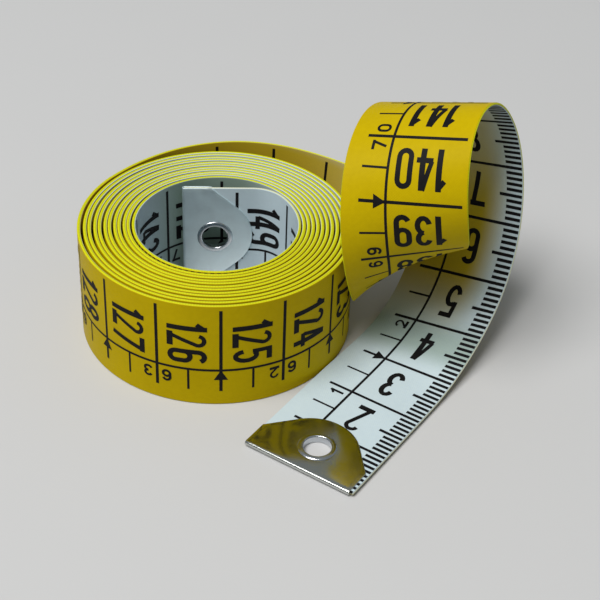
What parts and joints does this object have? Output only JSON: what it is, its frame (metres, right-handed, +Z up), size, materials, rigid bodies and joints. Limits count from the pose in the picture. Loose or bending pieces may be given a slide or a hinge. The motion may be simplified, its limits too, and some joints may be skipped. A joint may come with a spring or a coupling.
{
  "type": "tape measure",
  "caption": "Soft tailor's tape measure, rolled up on its edge with the outer end pulled out into a loop: printed vinyl strip with a riveted metal end at each end.",
  "frame": {"origin": "middle of the part's box, on the table that it lies on", "axes": "+Z up out of the table, along the roll's axis; +Y from the picture's viewer towards the back; +X to the viewer's right, from the roll to the loop"},
  "size_m": [0.0714, 0.0666, 0.0444],
  "materials": {
    "yellow_vinyl": "semi-gloss soft vinyl with a fine weave showing through",
    "white_vinyl": "semi-gloss soft vinyl with a fine weave showing through",
    "glass_web": "woven glass fibre",
    "plated_end": "bright nickel plate on thin steel",
    "eyelet": "bright nickel plate"
  },
  "bodies": {
    "roll": {"roll_yellow_face": "yellow_vinyl", "roll_web": "glass_web", "roll_white_face": "white_vinyl"},
    "inner_end": {"inner_end_yellow_face": "yellow_vinyl", "inner_end_web": "glass_web", "inner_end_white_face": "white_vinyl", "inner_tip": "plated_end", "inner_eyelet": "eyelet"},
    "outer_run": {"outer_run_yellow_face": "yellow_vinyl", "outer_run_web": "glass_web", "outer_run_white_face": "white_vinyl"},
    "free_end": {"free_end_yellow_face": "yellow_vinyl", "free_end_web": "glass_web", "free_end_white_face": "white_vinyl", "outer_tip": "plated_end", "outer_eyelet": "eyelet"}
  },
  "joints": [
    {"name": "outer_run_swing", "type": "hinge", "parent": "roll", "child": "outer_run", "pos_m": [-0.01568, 0.03269, 0.00965], "axis": [0, 0, 1], "range_deg": [0, 20]},
    {"name": "end_lift", "type": "hinge", "parent": "outer_run", "child": "free_end", "pos_m": [0.01253, -0.00995, 0.0008], "axis": [-0.8406, 0.5417, -0.0025], "range_deg": [0, 60]},
    {"name": "inner_end_swing", "type": "hinge", "parent": "roll", "child": "inner_end", "pos_m": [-0.00362, 0.01654, 0.00965], "axis": [0, 0, 1], "range_deg": [0, 25]}
  ]
}
